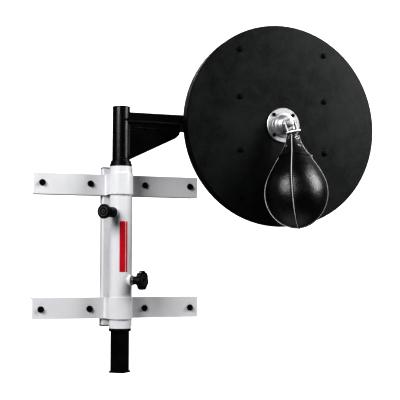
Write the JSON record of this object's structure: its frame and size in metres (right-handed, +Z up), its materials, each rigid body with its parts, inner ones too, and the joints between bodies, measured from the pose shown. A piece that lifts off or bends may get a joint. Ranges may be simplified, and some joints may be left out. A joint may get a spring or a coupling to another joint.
{
  "type": "speed bag platform",
  "caption": "Wall mounted swing-out speed bag platform: round black board on an arm and post, carried in a white sleeve on wall brackets, with a swivel and a leather bag.",
  "frame": {"origin": "on the wall plane, behind the post's axis, midway between the two wall brackets", "axes": "+Z up, -Y out from the wall into the room, +X along the arm towards the board"},
  "size_m": [1.0338, 0.3591, 1.0313],
  "materials": {
    "white_steel": "satin powder coat",
    "black_steel": "semi-gloss powder coat",
    "black_plastic": "matt moulded",
    "black_fastener": "black oxide",
    "bright_steel": "satin",
    "chrome_steel": "polished",
    "board_face": "black painted laminate",
    "edge_trim": "matt edge band",
    "black_leather": "semi-gloss",
    "pad_rubber": "matt"
  },
  "bodies": {
    "wall_frame": {"spine_tube": "white_steel", "spine_cap_top": "black_plastic", "spine_cap_bottom": "black_plastic", "sleeve_tube": "white_steel", "pin_boss": "white_steel", "clamp_boss": "white_steel", "bracket_upper": "white_steel", "bracket_lower": "white_steel", "pin_barrel": "black_plastic", "pin_spring": "bright_steel", "lag_bolt_upper_1": "black_fastener", "lag_bolt_upper_2": "black_fastener", "lag_bolt_upper_3": "black_fastener", "lag_bolt_upper_4": "black_fastener", "lag_bolt_lower_1": "black_fastener", "lag_bolt_lower_2": "black_fastener", "lag_bolt_lower_3": "black_fastener", "lag_bolt_lower_4": "black_fastener"},
    "swing_bushings": {"bushing_top": "black_plastic", "bushing_bottom": "black_plastic"},
    "post_arm": {"post_tube": "black_steel", "post_top_cap": "black_plastic", "post_foot_cap": "black_plastic", "arm_tube": "black_steel", "gusset_front": "black_steel", "gusset_rear": "black_steel", "tilt_index_plate": "black_steel", "spindle_tube": "bright_steel", "spindle_end_cap": "black_plastic"},
    "board": {"pivot_tube": "black_steel", "tilt_stud_tab": "bright_steel", "crossbar_left": "black_steel", "crossbar_right": "black_steel", "board_panel": "board_face", "board_edge_band": "edge_trim", "board_bolt_1": "black_fastener", "board_bolt_2": "black_fastener", "board_bolt_3": "black_fastener", "board_bolt_4": "black_fastener", "board_bolt_5": "black_fastener", "board_bolt_6": "black_fastener", "board_bolt_7": "black_fastener", "board_bolt_8": "black_fastener", "swivel_housing": "chrome_steel", "swivel_bearing": "bright_steel", "swivel_screw_1": "black_fastener", "swivel_screw_2": "black_fastener", "swivel_screw_3": "black_fastener", "swivel_screw_4": "black_fastener"},
    "tilt_clamp": {"tilt_clamp_knob": "black_plastic"},
    "swivel_rotor": {"swivel_nose": "chrome_steel"},
    "hanger": {"shackle": "chrome_steel", "shackle_pin": "chrome_steel"},
    "bag": {"bag_body": "black_leather", "bag_loop": "black_leather"},
    "height_pin": {"pin_plunger": "bright_steel", "pin_knob": "black_plastic"},
    "clamp_carriage": {"clamp_pad": "pad_rubber"},
    "clamp_handle": {"clamp_screw": "bright_steel", "clamp_knob": "black_plastic"}
  },
  "joints": [
    {"name": "arm_swing", "type": "hinge", "parent": "wall_frame", "child": "swing_bushings", "pos_m": [0, -0.07, 0], "axis": [0, 0, 1], "range_deg": [-90, 0]},
    {"name": "height_slide", "type": "slide", "parent": "swing_bushings", "child": "post_arm", "axis": [0, 0, 1], "range_m": [0, 0.1]},
    {"name": "board_tilt", "type": "hinge", "parent": "post_arm", "child": "board", "pos_m": [0.43, -0.07, 0.366], "axis": [1, 0, 0], "range_deg": [0, 90]},
    {"name": "tilt_clamp_turn", "type": "hinge", "parent": "board", "child": "tilt_clamp", "pos_m": [0.193, -0.032, 0.366], "axis": [1, 0, 0], "range_deg": [0, 180]},
    {"name": "swivel_spin", "type": "hinge", "parent": "board", "child": "swivel_rotor", "pos_m": [0.483, -0.17, 0.3655], "axis": [0, -1, 0], "continuous": true},
    {"name": "hanger_swing", "type": "hinge", "parent": "swivel_rotor", "child": "hanger", "pos_m": [0.483, -0.1893, 0.3655], "axis": [-0.9744, 0, -0.225], "range_deg": [0, 130]},
    {"name": "bag_swing", "type": "hinge", "parent": "hanger", "child": "bag", "pos_m": [0.48971, -0.19564, 0.33643], "axis": [-0.9744, 0, -0.225], "range_deg": [0, 20]},
    {"name": "pin_pull", "type": "slide", "parent": "wall_frame", "child": "height_pin", "axis": [-0.7071, -0.7071, 0], "range_m": [-0.01, 0], "stiffness_N_per_m": 300, "springref_m": -0.012},
    {"name": "clamp_press", "type": "slide", "parent": "wall_frame", "child": "clamp_carriage", "axis": [0.7071, -0.7071, 0], "range_m": [-0.007, 0]},
    {"name": "clamp_turn", "type": "hinge", "parent": "clamp_carriage", "child": "clamp_handle", "pos_m": [0.03889, -0.10889, -0.099], "axis": [0.7071, -0.7071, 0], "range_deg": [-1680, 0]}
  ],
  "couplings": [
    {"joint": "board_tilt", "follows": "arm_swing", "ratio": -1},
    {"joint": "clamp_turn", "follows": "clamp_press", "rad_per_m": 4188.8}
  ]
}
